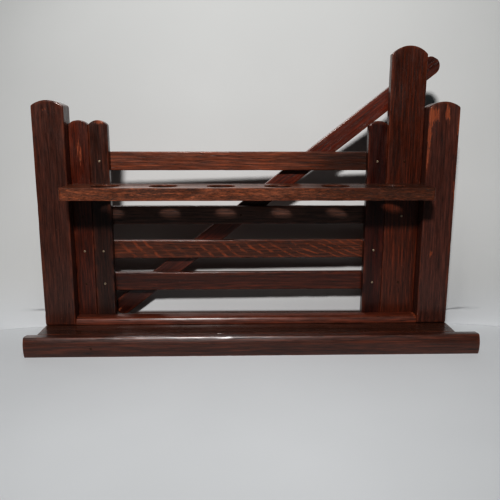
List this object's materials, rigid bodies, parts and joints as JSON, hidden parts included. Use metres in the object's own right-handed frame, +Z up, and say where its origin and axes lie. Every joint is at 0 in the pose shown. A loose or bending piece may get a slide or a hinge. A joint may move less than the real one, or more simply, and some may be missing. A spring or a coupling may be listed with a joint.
{
  "type": "tobacco pipe rack",
  "caption": "Dark stained oak pipe rack in the shape of a small field gate: posts, slats, rails and a long brace on a base, with a pierced shelf for pipes.",
  "frame": {"origin": "middle of the base's underside, under the centre of the overall box", "axes": "+X along the nosing to the viewer's right, +Y from the nosing to the back, +Z up"},
  "size_m": [0.305, 0.0636, 0.2042],
  "materials": {
    "stained_oak_base": "gloss",
    "stained_oak_nosing": "gloss",
    "stained_oak_strip": "gloss",
    "stained_oak_posts": "gloss",
    "stained_oak_shelf": "gloss",
    "stained_oak_uprights": "gloss",
    "stained_oak_rails": "gloss",
    "figured_oak_rail": "gloss",
    "stained_oak_brace": "gloss",
    "steel_pins": "dull",
    "steel_screws": "satin"
  },
  "bodies": {
    "root": {"base_board": "stained_oak_base", "nosing": "stained_oak_nosing", "bowl_rest_strip": "stained_oak_strip", "left_post": "stained_oak_posts", "right_post": "stained_oak_posts", "pipe_shelf": "stained_oak_shelf", "left_outer_slat": "stained_oak_uprights", "left_inner_slat": "stained_oak_uprights", "right_slat": "stained_oak_uprights", "tall_board": "stained_oak_uprights", "top_rail": "stained_oak_rails", "shelf_rail": "stained_oak_rails", "middle_rail": "figured_oak_rail", "bottom_rail": "stained_oak_rails", "brace": "stained_oak_brace", "slat_pins": "steel_pins", "brace_pins": "steel_pins", "shelf_pins": "steel_pins", "nosing_pins": "steel_pins", "strip_pins": "steel_pins", "post_side_pins": "steel_pins", "upright_pins": "steel_pins", "post_screws": "steel_screws"}
  },
  "joints": []
}
